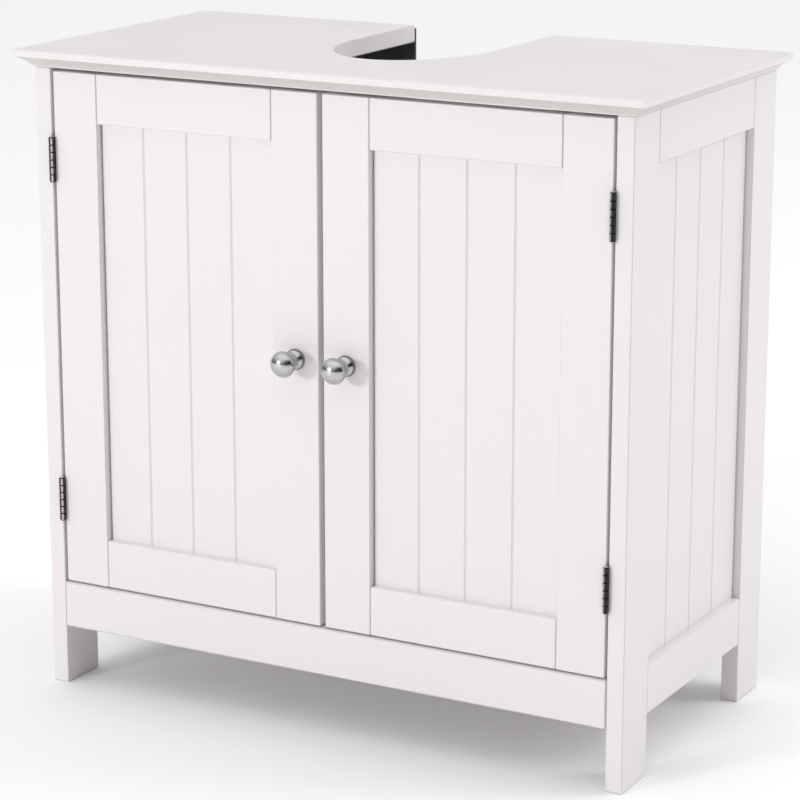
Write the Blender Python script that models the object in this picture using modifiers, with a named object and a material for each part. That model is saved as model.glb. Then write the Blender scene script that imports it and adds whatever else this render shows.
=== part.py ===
"""Bathroom vanity cabinet that stands around a basin pedestal.

A white-painted board cabinet: two framed sides with beaded panels, a moulded top with a
U-shaped cut-out for the basin's pedestal, two inset doors on butt hinges, and a back that is
open in the middle for the pipes. Metres, +Z up. The origin is on the floor, at the middle of
the whole object's width and depth. The doors face -Y.
"""
import bpy
import bmesh
from math import pi, sin, cos, radians
from mathutils import Matrix, Vector

# ---- driving dimensions -------------------------------------------------------------------
HEIGHT = 0.600                 # floor to the top surface
TOP_WIDTH = 0.620
TOP_DEPTH = 0.320
BOARD = 0.016                  # thickness of the top, the sides, the doors and the rails
TOP_OVERHANG = 0.015           # top beyond the sides, and beyond the front
CLEARANCE = 0.0003             # air between touching pieces
ARRIS = 0.0006                 # eased edge on every painted board
FRONT_RAIL_ARRIS = 0.0015

CUTOUT_HALF_WIDTH = 0.073      # U-shaped cut-out for the pedestal
CUTOUT_DEPTH = 0.220
CUTOUT_END_LENGTH = 0.107      # half-ellipse end, from the straight sides to the tip
# edge moulding of the top: (height below the top surface, how far the outline draws in)
EDGE_PROFILE = ((0.0, 0.0016), (0.0016, 0.0), (0.0062, 0.0), (0.0068, 0.0012),
                (0.0085, 0.0048), (0.0106, 0.0082), (0.0132, 0.0114), (BOARD, 0.0142))

LEG_WIDTH = 0.050              # each upright of a side
SIDE_RAIL_BOTTOM = 0.0565
SIDE_RAIL_TOP = 0.1015
SIDE_OPENING_TOP = 0.538
SIDE_PANEL_RECESS = 0.007
PANEL_THICKNESS = 0.006
TONGUE = 0.006                 # how far a beaded panel sits in its frame's grooves
BEAD_GROOVE = 0.0026           # width of each V groove
BEAD_BOARDS = 4                # boards that a panel looks made of

DOOR_BOTTOM = 0.102
DOOR_TOP = 0.581
DOOR_SETBACK = 0.0005          # door face behind the sides' front edges
DOOR_SIDE_GAP = 0.0025
DOOR_MIDDLE_GAP = 0.005
DOOR_STILE = 0.046
DOOR_RAIL = 0.045
DOOR_PANEL_RECESS = 0.0065

FRONT_RAIL_PROUD = 0.001       # front rail ahead of the sides' front edges
FRONT_RAIL_TOP = 0.1005
FLOOR_TOP = 0.0905             # upper face of the bottom board
FLOOR_THICKNESS = 0.012
FLOOR_HOUSING = 0.005          # depth of the housing that holds the bottom board

BACK_STRIP_THICKNESS = 0.003
BACK_STRIP_INSET = 0.012       # from a side's outer face
BACK_STRIP_DROP = 0.003        # below the top surface

HINGE_LENGTH = 0.0405
HINGE_SPREAD = 0.1595          # each hinge above or below the middle of its door
KNUCKLES = 6
KNUCKLE_RADIUS = 0.0028
KNUCKLE_BORE = 0.0015
PIN_RADIUS = 0.0012
PIN_TIP_RADIUS = 0.0021
PIN_TIP_STRETCH = 0.5          # a tip's height over its radius
LEAF_THICKNESS = 0.0008
LEAF_REACH = 0.0150            # leaf's far edge behind the pin
HINGE_PROUD = 0.0026           # pin ahead of the sides' front edges

KNOB_LENGTH = 0.0305
KNOB_ABOVE_MIDDLE = 0.0035     # knob's axis above the middle of its door
KNOB_SCREW_BORE = 0.0020
KNOB_SCREW_DEPTH = 0.010
KNOB_SCREW_HEAD = ((0.0, 0.0040), (0.0012, 0.0036), (0.0022, 0.0022))   # (depth from the door's back, radius)
# turned outline of a knob: (distance from the door, radius)
KNOB_OUTLINE = ((0.0305, 0.0), (0.0302, 0.0034), (0.0290, 0.0066), (0.0268, 0.0094), (0.0240, 0.0112),
                (0.0212, 0.0117), (0.0186, 0.0108), (0.0158, 0.0084), (0.0130, 0.0061), (0.0100, 0.0053),
                (0.0070, 0.0056), (0.0048, 0.0070), (0.0030, 0.0088), (0.0016, 0.0095), (0.0, 0.0095))

CATCH_SIZE = (0.035, 0.018, 0.012)
CATCH_FROM_MIDDLE = 0.0275
CATCH_ARRIS = 0.0008
CATCH_SLOT = (0.021, 0.0015, 0.0020)   # the magnet's slot in the catch's front face
CATCH_SLOT_DROP = 0.0054
STRIKE_SIZE = (0.030, 0.001, 0.010)
STRIKE_DROP = 0.0008           # below the door's top edge

CAM_RADIUS = 0.0075
CAM_DEPTH = 0.0125
CAM_BELOW_TOP = 0.024          # cam axis below the top board's underside
CAM_BOLT_RADIUS = 0.0030
CAM_NECK_RADIUS = 0.0020
CAM_COLLAR = 0.001             # threaded end's shoulder below the top board
CAM_HEAD_RADIUS = 0.0034
CAM_BOLT_IN_TOP = 0.010
CAM_FROM_LEG = 0.025
DOWEL_RADIUS = 0.004
DOWEL_IN_LEG = 0.0115
DOWEL_IN_RAIL = 0.018
DOWEL_ABOVE_RAIL_BOTTOM = 0.011

ROUND = 24                     # facets around knobs
FINE_ROUND = 16                # facets around small hardware
SCREW_ROUND = 12               # facets around screws, bolts and pins
PAST = 0.002                   # how far a cutter runs past the face that it opens

# ---- places worked out from the dimensions --------------------------------------------------
SIDE_OUTER = TOP_WIDTH / 2 - TOP_OVERHANG
SIDE_INNER = SIDE_OUTER - BOARD
CARCASS_DEPTH = TOP_DEPTH - TOP_OVERHANG
KNOB_TIP = KNOB_LENGTH + CLEARANCE - DOOR_SETBACK
BACK_REACH = CLEARANCE + BACK_STRIP_THICKNESS
FRONT_Y = (KNOB_TIP - CARCASS_DEPTH - BACK_REACH) / 2
BACK_Y = FRONT_Y + CARCASS_DEPTH
TOP_UNDERSIDE = HEIGHT - BOARD
DOOR_FRONT = FRONT_Y + DOOR_SETBACK
DOOR_BACK = DOOR_FRONT + BOARD
DOOR_OUTER = SIDE_INNER - DOOR_SIDE_GAP
DOOR_INNER = DOOR_MIDDLE_GAP / 2
DOOR_MIDDLE_Z = (DOOR_BOTTOM + DOOR_TOP) / 2
HINGE_X = (SIDE_INNER + DOOR_OUTER) / 2
HINGE_Y = FRONT_Y - HINGE_PROUD
LEAF_OFFSET = DOOR_SIDE_GAP / 2 - CLEARANCE - LEAF_THICKNESS / 2
KNOB_X = DOOR_INNER + DOOR_STILE / 2
KNOB_Z = DOOR_MIDDLE_Z + KNOB_ABOVE_MIDDLE
SIDES = (("left", -1), ("right", 1))


# ---- scene helpers ----------------------------------------------------------------------------
def clear_scene():
    for obj in list(bpy.data.objects):
        bpy.data.objects.remove(obj, do_unlink=True)


def new_collection(name):
    collection = bpy.data.collections.new(name)
    bpy.context.scene.collection.children.link(collection)
    return collection


def new_material(name, colour, roughness, metallic=0.0):
    material = bpy.data.materials.new(name)
    material.use_nodes = True
    shader = material.node_tree.nodes["Principled BSDF"]
    shader.inputs["Base Color"].default_value = (*colour, 1.0)
    shader.inputs["Roughness"].default_value = roughness
    shader.inputs["Metallic"].default_value = metallic
    return material


def finish_material(name, finish):
    colour, roughness, metallic = FINISHES[finish]
    return new_material(name, colour, roughness, metallic)


def add_part(name, mesh, finish, location=(0, 0, 0)):
    """A sub-part: its object, its own material and its place."""
    obj = bpy.data.objects.new(name, mesh)
    obj.location = location
    mesh.materials.append(finish_material(name, finish))
    PARTS.objects.link(obj)
    return obj


def add_cutter(name, mesh, location=(0, 0, 0)):
    obj = bpy.data.objects.new(name, mesh)
    obj.location = location
    obj.hide_render = True
    obj.display_type = "WIRE"
    CUTTERS.objects.link(obj)
    return obj


def block_mesh(name, size):
    """A block centred on its own origin."""
    shape = bmesh.new()
    bmesh.ops.create_cube(shape, size=1.0)
    bmesh.ops.scale(shape, vec=size, verts=shape.verts)
    mesh = bpy.data.meshes.new(name)
    shape.to_mesh(mesh)
    shape.free()
    return mesh


def rod_mesh(name, radius, length, axis, facets=FINE_ROUND):
    """A capped cylinder centred on its own origin, along X, Y or Z."""
    turn = {"X": Matrix.Rotation(pi / 2, 4, "Y"),
            "Y": Matrix.Rotation(pi / 2, 4, "X"),
            "Z": Matrix.Identity(4)}
    shape = bmesh.new()
    bmesh.ops.create_cone(shape, cap_ends=True, segments=facets, radius1=radius, radius2=radius,
                          depth=length, matrix=turn[axis])
    mesh = bpy.data.meshes.new(name)
    shape.to_mesh(mesh)
    shape.free()
    return mesh


def span(low, high):
    """Centre and size of the box between two corners, given in any order."""
    low, high = Vector(low), Vector(high)
    size = Vector([abs(h - l) for l, h in zip(low, high)])
    return (low + high) / 2, size


def board(name, low, high, finish="white_paint", arris=ARRIS):
    """A rectangular board between two corners, with eased edges."""
    centre, size = span(low, high)
    obj = add_part(name, block_mesh(name, size), finish, centre)
    if arris:
        ease = obj.modifiers.new("eased edges", "BEVEL")
        ease.width = arris
        ease.segments = 1
    return obj


def boolean(obj, other, operation):
    modifier = obj.modifiers.new(other.name, "BOOLEAN")
    modifier.operation = operation
    modifier.solver = "EXACT"
    modifier.object = other


def cut(obj, *cutters):
    for cutter in cutters:
        boolean(obj, cutter, "DIFFERENCE")


def block_cutter(name, low, high):
    centre, size = span(low, high)
    return add_cutter(name, block_mesh(name, size), centre)


def rod_cutter(name, start, end, radius, axis, facets=FINE_ROUND):
    """A round hole from start to end, both on a line along the axis."""
    start, end = Vector(start), Vector(end)
    return add_cutter(name, rod_mesh(name, radius, (end - start).length, axis, facets), (start + end) / 2)


def turned_part(name, outline, finish, facets, location, turn=None):
    """A solid turned about its own Z from (height, radius) points, listed from the top down."""
    mesh = bpy.data.meshes.new(name)
    points = [(radius, 0.0, height) for height, radius in outline]
    mesh.from_pydata(points, [(i, i + 1) for i in range(len(points) - 1)], [])
    obj = add_part(name, mesh, finish, location)
    if turn:
        obj.rotation_euler = turn
    screw = obj.modifiers.new("turning", "SCREW")
    screw.axis = "Z"
    screw.angle = 2 * pi
    screw.steps = facets
    screw.render_steps = facets
    screw.use_merge_vertices = True
    screw.merge_threshold = 0.00005
    screw.use_smooth_shade = True
    return obj


def parent_in_place(obj, empty):
    """The part keeps its place and turns with the door's hinge line."""
    obj.parent = empty
    obj.matrix_parent_inverse = Matrix.Translation(empty.location).inverted()


def bead_grooves(name, along, face, middle, width, low_z, high_z):
    """Vertical V grooves that divide a panel of this width into equal boards.

    along is "X" or "Y", the way the grooves are spaced; face is the panel's face on the other axis.
    """
    side_of_square = BEAD_GROOVE / 2 ** 0.5
    shape = bmesh.new()
    for i in range(1, BEAD_BOARDS):
        place = middle + width * (i / BEAD_BOARDS - 0.5)
        spot = (place, face) if along == "X" else (face, place)
        made = bmesh.ops.create_cube(shape, size=1.0)["verts"]
        bmesh.ops.scale(shape, vec=(side_of_square, side_of_square, high_z - low_z), verts=made)
        bmesh.ops.rotate(shape, matrix=Matrix.Rotation(pi / 4, 3, "Z"), verts=made)
        bmesh.ops.translate(shape, vec=(*spot, (low_z + high_z) / 2), verts=made)
    mesh = bpy.data.meshes.new(name)
    shape.to_mesh(mesh)
    shape.free()
    return add_cutter(name, mesh)


# ---- top ----------------------------------------------------------------------------------------
def cutout_cutter():
    """The U: straight sides open to the back, and a half-ellipse end towards the front."""
    end_y = BACK_Y - CUTOUT_DEPTH + CUTOUT_END_LENGTH
    beyond = BACK_Y + BOARD
    points = [(CUTOUT_HALF_WIDTH, beyond), (-CUTOUT_HALF_WIDTH, beyond)]
    for i in range(ROUND + 1):
        angle = pi + pi * i / ROUND
        points.append((CUTOUT_HALF_WIDTH * cos(angle), end_y + CUTOUT_END_LENGTH * sin(angle)))
    outline = bpy.data.curves.new("cutout_outline", "CURVE")
    outline.dimensions = "2D"
    outline.fill_mode = "BOTH"
    outline.extrude = BOARD
    spline = outline.splines.new("POLY")
    spline.points.add(len(points) - 1)
    for point, (x, y) in zip(spline.points, points):
        point.co = (x, y, 0.0, 1.0)
    spline.use_cyclic_u = True
    guide = bpy.data.objects.new("cutout_outline", outline)
    CUTTERS.objects.link(guide)
    bpy.context.view_layer.update()
    flat = guide.evaluated_get(bpy.context.evaluated_depsgraph_get())
    mesh = bpy.data.meshes.new_from_object(flat)
    bpy.data.objects.remove(guide, do_unlink=True)
    shape = bmesh.new()
    shape.from_mesh(mesh)
    bmesh.ops.remove_doubles(shape, verts=shape.verts, dist=0.00001)
    bmesh.ops.recalc_face_normals(shape, faces=shape.faces)
    shape.to_mesh(mesh)
    shape.free()
    return add_cutter("cutout", mesh, (0, 0, TOP_UNDERSIDE + BOARD / 2))


def top_board():
    """The top: a block whose front and side edges are drawn in level by level to the moulding."""
    front = BACK_Y - TOP_DEPTH
    shape = bmesh.new()
    bmesh.ops.create_cube(shape, size=1.0)
    bmesh.ops.scale(shape, vec=(TOP_WIDTH, TOP_DEPTH, BOARD), verts=shape.verts)
    bmesh.ops.translate(shape, vec=(0, (front + BACK_Y) / 2, HEIGHT - BOARD / 2), verts=shape.verts)
    for drop, _ in EDGE_PROFILE[1:-1]:
        everything = shape.verts[:] + shape.edges[:] + shape.faces[:]
        bmesh.ops.bisect_plane(shape, geom=everything, plane_co=(0, 0, HEIGHT - drop), plane_no=(0, 0, 1))
    for vert in shape.verts:
        drop = HEIGHT - vert.co.z
        inset = min(EDGE_PROFILE, key=lambda level: abs(level[0] - drop))[1]
        vert.co.x -= inset if vert.co.x > 0 else -inset
        if vert.co.y < (front + BACK_Y) / 2:
            vert.co.y += inset
    mesh = bpy.data.meshes.new("top_board")
    shape.to_mesh(mesh)
    shape.free()
    top = add_part("top_board", mesh, "white_paint")
    cut(top, cutout_cutter())
    return top


# ---- sides --------------------------------------------------------------------------------------
def side_frame(side, sign):
    """One side: two legs, two rails between them and a beaded panel in their grooves."""
    outer, inner = sign * SIDE_OUTER, sign * SIDE_INNER
    leg_top = TOP_UNDERSIDE - CLEARANCE
    open_front, open_back = FRONT_Y + LEG_WIDTH, BACK_Y - LEG_WIDTH
    front_leg = board(f"{side}_front_leg", (outer, FRONT_Y, 0), (inner, open_front, leg_top))
    rear_leg = board(f"{side}_rear_leg", (outer, open_back, 0), (inner, BACK_Y, leg_top))
    rail_front, rail_back = open_front + CLEARANCE, open_back - CLEARANCE
    top_rail = board(f"{side}_top_rail", (outer, rail_front, SIDE_OPENING_TOP), (inner, rail_back, leg_top))
    bottom_rail = board(f"{side}_bottom_rail", (outer, rail_front, SIDE_RAIL_BOTTOM),
                        (inner, rail_back, SIDE_RAIL_TOP))
    face = sign * (SIDE_OUTER - SIDE_PANEL_RECESS)
    back_face = sign * (SIDE_OUTER - SIDE_PANEL_RECESS - PANEL_THICKNESS)
    low = (back_face, open_front - TONGUE, SIDE_RAIL_TOP - TONGUE)
    high = (face, open_back + TONGUE, SIDE_OPENING_TOP + TONGUE)
    panel = board(f"{side}_bead_panel", low, high, arris=0)
    grooves = bead_grooves(f"{side}_bead_grooves", "Y", face, (open_front + open_back) / 2,
                           open_back - open_front, low[2] - TONGUE, high[2] + TONGUE)
    cut(panel, grooves)
    air = Vector((sign * CLEARANCE, CLEARANCE, CLEARANCE))
    room = block_cutter(f"{side}_panel_room", Vector(low) - air, Vector(high) + air)
    for member in (front_leg, rear_leg, top_rail, bottom_rail):
        cut(member, room)
    return {"front_leg": front_leg, "rear_leg": rear_leg, "top_rail": top_rail, "bottom_rail": bottom_rail}


# ---- bottom and back ----------------------------------------------------------------------------
def front_rail():
    reach = SIDE_INNER - CLEARANCE
    face = FRONT_Y - FRONT_RAIL_PROUD
    return board("front_bottom_rail", (-reach, face, SIDE_RAIL_BOTTOM), (reach, face + BOARD, FRONT_RAIL_TOP),
                 arris=FRONT_RAIL_ARRIS)


def rear_rail():
    reach = SIDE_INNER - CLEARANCE
    return board("rear_bottom_rail", (-reach, BACK_Y - BOARD, SIDE_RAIL_BOTTOM),
                 (reach, BACK_Y, SIDE_RAIL_TOP))


def bottom_board(holders):
    """The cabinet's floor, housed in the rails and legs around it."""
    reach = SIDE_INNER + FLOOR_HOUSING
    front = FRONT_Y - FRONT_RAIL_PROUD + BOARD - FLOOR_HOUSING
    back = BACK_Y - BOARD + FLOOR_HOUSING
    low, high = (-reach, front, FLOOR_TOP - FLOOR_THICKNESS), (reach, back, FLOOR_TOP)
    board("bottom_board", low, high, arris=0)
    air = Vector((CLEARANCE, CLEARANCE, CLEARANCE))
    room = block_cutter("bottom_board_room", Vector(low) - air, Vector(high) + air)
    for holder in holders:
        cut(holder, room)


def back_strip(side, sign):
    """A thin upright strip that closes the back beside the pipe opening."""
    near, far = sign * CUTOUT_HALF_WIDTH, sign * (SIDE_OUTER - BACK_STRIP_INSET)
    front = BACK_Y + CLEARANCE
    board(f"{side}_back_strip", (near, front, SIDE_RAIL_BOTTOM),
          (far, front + BACK_STRIP_THICKNESS, HEIGHT - BACK_STRIP_DROP), "grey_fibreboard", arris=0)


# ---- joining hardware of the carcass --------------------------------------------------------------
def cam_fitting(name, sign, y, rail, top):
    """A cam lock in a side's top rail, and the bolt that it pulls down out of the top board."""
    centre_x = sign * (SIDE_INNER + BOARD / 2)
    cam_z = TOP_UNDERSIDE - CAM_BELOW_TOP
    face, deep = sign * SIDE_INNER, sign * (SIDE_INNER + CAM_DEPTH)
    cam_middle = ((face + deep) / 2, y, cam_z)
    cam_mesh = rod_mesh(f"{name}_cam_lock", CAM_RADIUS, CAM_DEPTH, "X")
    cam = add_part(f"{name}_cam_lock", cam_mesh, "zinc", cam_middle)
    pocket = rod_cutter(f"{name}_cam_pocket", (face - sign * PAST, y, cam_z),
                        (deep + sign * CLEARANCE, y, cam_z), CAM_RADIUS + CLEARANCE, "X")
    head_end = cam_z - CAM_HEAD_RADIUS
    bolt_top = TOP_UNDERSIDE + CAM_BOLT_IN_TOP
    channel = rod_cutter(f"{name}_bolt_channel", (centre_x, y, head_end - CLEARANCE),
                         (centre_x, y, TOP_UNDERSIDE + PAST), CAM_HEAD_RADIUS + CLEARANCE, "Z")
    thread_hole = rod_cutter(f"{name}_bolt_hole", (centre_x, y, TOP_UNDERSIDE - PAST),
                             (centre_x, y, bolt_top + CLEARANCE), CAM_BOLT_RADIUS + CLEARANCE, "Z")
    cut(rail, pocket, channel)
    cut(cam, channel)
    cut(top, thread_hole)
    collar = TOP_UNDERSIDE - CLEARANCE - CAM_COLLAR
    outline = ((bolt_top, 0.0), (bolt_top, CAM_BOLT_RADIUS),
               (collar, CAM_BOLT_RADIUS), (collar, CAM_NECK_RADIUS),
               (cam_z + CAM_HEAD_RADIUS, CAM_NECK_RADIUS), (cam_z + CAM_HEAD_RADIUS, CAM_HEAD_RADIUS),
               (head_end, CAM_HEAD_RADIUS), (head_end, 0.0))
    turned_part(f"{name}_cam_bolt", outline, "zinc", SCREW_ROUND, (centre_x, y, 0))


def dowel(name, sign, y, z, leg, rail):
    """A wooden dowel through the joint between a leg and a cross rail."""
    in_leg = sign * (SIDE_INNER + DOWEL_IN_LEG)
    in_rail = sign * (SIDE_INNER - DOWEL_IN_RAIL)
    middle = ((in_leg + in_rail) / 2, y, z)
    length = abs(in_leg - in_rail)
    add_part(name, rod_mesh(name, DOWEL_RADIUS, length, "X", SCREW_ROUND), "beech", middle)
    hole = rod_cutter(f"{name}_hole", (in_leg + sign * CLEARANCE, y, z), (in_rail - sign * CLEARANCE, y, z),
                      DOWEL_RADIUS + CLEARANCE, "X")
    cut(leg, hole)
    cut(rail, hole)


# ---- doors --------------------------------------------------------------------------------------
def door(side, sign):
    """One framed door with a beaded panel. Every piece turns on the door's hinge line."""
    outer, inner = sign * DOOR_OUTER, sign * DOOR_INNER
    hinge_edge = outer - sign * DOOR_STILE
    knob_edge = inner + sign * DOOR_STILE
    hinge_stile = board(f"{side}_door_hinge_stile", (outer, DOOR_FRONT, DOOR_BOTTOM),
                        (hinge_edge, DOOR_BACK, DOOR_TOP))
    knob_stile = board(f"{side}_door_knob_stile", (inner, DOOR_FRONT, DOOR_BOTTOM),
                       (knob_edge, DOOR_BACK, DOOR_TOP))
    rail_out, rail_in = hinge_edge - sign * CLEARANCE, knob_edge + sign * CLEARANCE
    open_low, open_high = DOOR_BOTTOM + DOOR_RAIL, DOOR_TOP - DOOR_RAIL
    top_rail = board(f"{side}_door_top_rail", (rail_out, DOOR_FRONT, open_high),
                     (rail_in, DOOR_BACK, DOOR_TOP))
    bottom_rail = board(f"{side}_door_bottom_rail", (rail_out, DOOR_FRONT, DOOR_BOTTOM),
                        (rail_in, DOOR_BACK, open_low))
    face = DOOR_FRONT + DOOR_PANEL_RECESS
    low = Vector((min(hinge_edge, knob_edge) - TONGUE, face, open_low - TONGUE))
    high = Vector((max(hinge_edge, knob_edge) + TONGUE, face + PANEL_THICKNESS, open_high + TONGUE))
    panel = board(f"{side}_door_bead_panel", low, high, arris=0)
    cut(panel, bead_grooves(f"{side}_door_grooves", "X", face, (hinge_edge + knob_edge) / 2,
                            abs(hinge_edge - knob_edge), low.z - TONGUE, high.z + TONGUE))
    air = Vector((CLEARANCE, CLEARANCE, CLEARANCE))
    room = block_cutter(f"{side}_door_panel_room", low - air, high + air)
    for member in (hinge_stile, knob_stile, top_rail, bottom_rail):
        cut(member, room)
    screw_hole = rod_cutter(f"{side}_knob_hole", (sign * KNOB_X, DOOR_FRONT - PAST, KNOB_Z),
                            (sign * KNOB_X, DOOR_BACK + PAST, KNOB_Z), KNOB_SCREW_BORE, "Y")
    cut(knob_stile, screw_hole)
    return [hinge_stile, knob_stile, top_rail, bottom_rail, panel]


def knob(side, sign):
    """A turned knob with a blind hole in its foot, and the screw that holds it through the stile."""
    facing_out = (pi / 2, 0, 0)
    foot = (sign * KNOB_X, DOOR_FRONT - CLEARANCE, KNOB_Z)
    bore_end = KNOB_SCREW_DEPTH + CLEARANCE
    outline = KNOB_OUTLINE + ((0.0, KNOB_SCREW_BORE), (bore_end, KNOB_SCREW_BORE), (bore_end, 0.0))
    turned = turned_part(f"{side}_knob", outline, "brushed_nickel", ROUND, foot, facing_out)
    under_head = -(BOARD + 2 * CLEARANCE)
    shank = KNOB_SCREW_BORE - CLEARANCE
    head = [(under_head - depth, radius) for depth, radius in KNOB_SCREW_HEAD]
    screw_outline = [(KNOB_SCREW_DEPTH, 0.0), (KNOB_SCREW_DEPTH, shank), (under_head, shank)] + head
    screw_outline.append((head[-1][0], 0.0))
    screw = turned_part(f"{side}_knob_screw", screw_outline, "zinc", SCREW_ROUND, foot, facing_out)
    return [turned, screw]


def catch(side, sign):
    """A magnetic catch under the top, and the steel plate on the door that it holds."""
    width, depth, height = CATCH_SIZE
    x = sign * CATCH_FROM_MIDDLE
    top = TOP_UNDERSIDE - CLEARANCE
    plate_width, plate_depth, plate_height = STRIKE_SIZE
    front = DOOR_BACK + 2 * CLEARANCE + plate_depth
    body = board(f"{side}_catch", (x - width / 2, front, top - height), (x + width / 2, front + depth, top),
                 "white_plastic", arris=CATCH_ARRIS)
    slot_width, slot_depth, slot_height = CATCH_SLOT
    slot_top = top - CATCH_SLOT_DROP
    slot = block_cutter(f"{side}_catch_slot", (x - slot_width / 2, front - PAST, slot_top - slot_height),
                        (x + slot_width / 2, front + slot_depth, slot_top))
    cut(body, slot)
    plate_top = DOOR_TOP - STRIKE_DROP
    plate_front = DOOR_BACK + CLEARANCE
    plate = board(f"{side}_strike_plate", (x - plate_width / 2, plate_front, plate_top - plate_height),
                  (x + plate_width / 2, plate_front + plate_depth, plate_top), "zinc", arris=0)
    return [plate]


# ---- hinges -------------------------------------------------------------------------------------
def hinge_leaf(name, x, z, offset, knuckles):
    """A leaf: plate and knuckle barrel in one, bored for the pin and relieved for its partner."""
    plate_size = (LEAF_THICKNESS, LEAF_REACH, HINGE_LENGTH)
    middle = (x + offset, HINGE_Y + LEAF_REACH / 2, z)
    leaf = add_part(name, block_mesh(name, plate_size), "dark_steel", middle)
    barrel_mesh = rod_mesh(f"{name}_barrel", KNUCKLE_RADIUS, HINGE_LENGTH, "Z")
    boolean(leaf, add_cutter(f"{name}_barrel", barrel_mesh, (x, HINGE_Y, z)), "UNION")
    pitch = HINGE_LENGTH / KNUCKLES
    bottom, top = z - HINGE_LENGTH / 2, z + HINGE_LENGTH / 2
    for i in range(KNUCKLES):
        if i in knuckles:
            continue
        low = bottom + i * pitch - (CLEARANCE / 2 if i else PAST)
        high = bottom + (i + 1) * pitch + (CLEARANCE / 2 if i < KNUCKLES - 1 else PAST)
        cut(leaf, rod_cutter(f"{name}_relief_{i}", (x, HINGE_Y, low), (x, HINGE_Y, high),
                             KNUCKLE_RADIUS + CLEARANCE, "Z"))
    cut(leaf, rod_cutter(f"{name}_bore", (x, HINGE_Y, bottom - PAST), (x, HINGE_Y, top + PAST),
                         KNUCKLE_BORE, "Z"))
    return leaf


def hinge(side, sign, level, z):
    """A butt hinge: the frame's leaf, the door's leaf and a pin with rounded tips."""
    name = f"{side}_{level}_hinge"
    x = sign * HINGE_X
    hinge_leaf(f"{name}_frame_leaf", x, z, sign * LEAF_OFFSET, (0, 2, 4))
    door_leaf = hinge_leaf(f"{name}_door_leaf", x, z, -sign * LEAF_OFFSET, (1, 3, 5))
    end = HINGE_LENGTH / 2 + CLEARANCE
    tip = PIN_TIP_RADIUS
    upper = [(end + tip * PIN_TIP_STRETCH * sin(radians(a)), tip * cos(radians(a))) for a in (90, 60, 30, 0)]
    lower = [(-height, radius) for height, radius in reversed(upper)]
    outline = upper + [(end, PIN_RADIUS), (-end, PIN_RADIUS)] + lower
    turned_part(f"{name}_pin", outline, "dark_steel", SCREW_ROUND, (x, HINGE_Y, z))
    return [door_leaf]


# ---- assembly -----------------------------------------------------------------------------------
FINISHES = {
    "white_paint": ((0.86, 0.85, 0.83), 0.38, 0.0),
    "grey_fibreboard": ((0.075, 0.078, 0.074), 0.75, 0.0),
    "brushed_nickel": ((0.62, 0.60, 0.57), 0.28, 1.0),
    "dark_steel": ((0.10, 0.10, 0.10), 0.45, 1.0),
    "zinc": ((0.60, 0.61, 0.62), 0.40, 1.0),
    "white_plastic": ((0.80, 0.80, 0.78), 0.45, 0.0),
    "beech": ((0.55, 0.38, 0.22), 0.70, 0.0),
}


def assemble_carcass():
    top = top_board()
    frames = {side: side_frame(side, sign) for side, sign in SIDES}
    front, rear = front_rail(), rear_rail()
    holders = [front, rear]
    for frame in frames.values():
        holders += [frame["front_leg"], frame["rear_leg"], frame["bottom_rail"]]
    bottom_board(holders)
    front_y, rear_y = FRONT_Y + LEG_WIDTH + CAM_FROM_LEG, BACK_Y - LEG_WIDTH - CAM_FROM_LEG
    front_dowel_y, rear_dowel_y = FRONT_Y - FRONT_RAIL_PROUD + BOARD / 2, BACK_Y - BOARD / 2
    dowel_z = SIDE_RAIL_BOTTOM + DOWEL_ABOVE_RAIL_BOTTOM
    for side, sign in SIDES:
        frame = frames[side]
        back_strip(side, sign)
        cam_fitting(f"{side}_front", sign, front_y, frame["top_rail"], top)
        cam_fitting(f"{side}_rear", sign, rear_y, frame["top_rail"], top)
        dowel(f"{side}_front_dowel", sign, front_dowel_y, dowel_z, frame["front_leg"], front)
        dowel(f"{side}_rear_dowel", sign, rear_dowel_y, dowel_z, frame["rear_leg"], rear)


def assemble_door(side, sign):
    """The door with its knob, strike plate and hinge leaves, all turning about the hinge line."""
    axis = bpy.data.objects.new(f"{side}_door_axis", None)
    axis.location = (sign * HINGE_X, HINGE_Y, DOOR_MIDDLE_Z)
    PARTS.objects.link(axis)
    moving = door(side, sign) + knob(side, sign) + catch(side, sign)
    moving += hinge(side, sign, "upper", DOOR_MIDDLE_Z + HINGE_SPREAD)
    moving += hinge(side, sign, "lower", DOOR_MIDDLE_Z - HINGE_SPREAD)
    for piece in moving:
        parent_in_place(piece, axis)


clear_scene()
PARTS = new_collection("bathroom_vanity_cabinet")
CUTTERS = new_collection("cutters")
assemble_carcass()
for SIDE, SIGN in SIDES:
    assemble_door(SIDE, SIGN)
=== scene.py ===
import math

import bpy
import numpy as np
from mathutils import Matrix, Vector


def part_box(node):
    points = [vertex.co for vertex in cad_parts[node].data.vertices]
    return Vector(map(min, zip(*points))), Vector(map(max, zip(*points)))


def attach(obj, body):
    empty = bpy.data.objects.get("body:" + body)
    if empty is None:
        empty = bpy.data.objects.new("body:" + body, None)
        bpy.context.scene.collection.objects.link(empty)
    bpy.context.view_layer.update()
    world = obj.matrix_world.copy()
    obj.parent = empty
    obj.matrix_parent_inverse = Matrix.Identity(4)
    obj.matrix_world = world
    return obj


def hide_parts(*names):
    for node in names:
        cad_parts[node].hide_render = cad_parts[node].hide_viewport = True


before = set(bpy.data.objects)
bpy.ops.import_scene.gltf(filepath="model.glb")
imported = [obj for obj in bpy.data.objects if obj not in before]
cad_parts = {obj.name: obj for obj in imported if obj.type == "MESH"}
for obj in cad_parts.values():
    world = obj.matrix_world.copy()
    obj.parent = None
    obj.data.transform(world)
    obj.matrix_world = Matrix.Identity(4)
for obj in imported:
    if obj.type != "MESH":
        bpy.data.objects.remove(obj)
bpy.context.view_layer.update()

quarter = math.pi / 2


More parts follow.
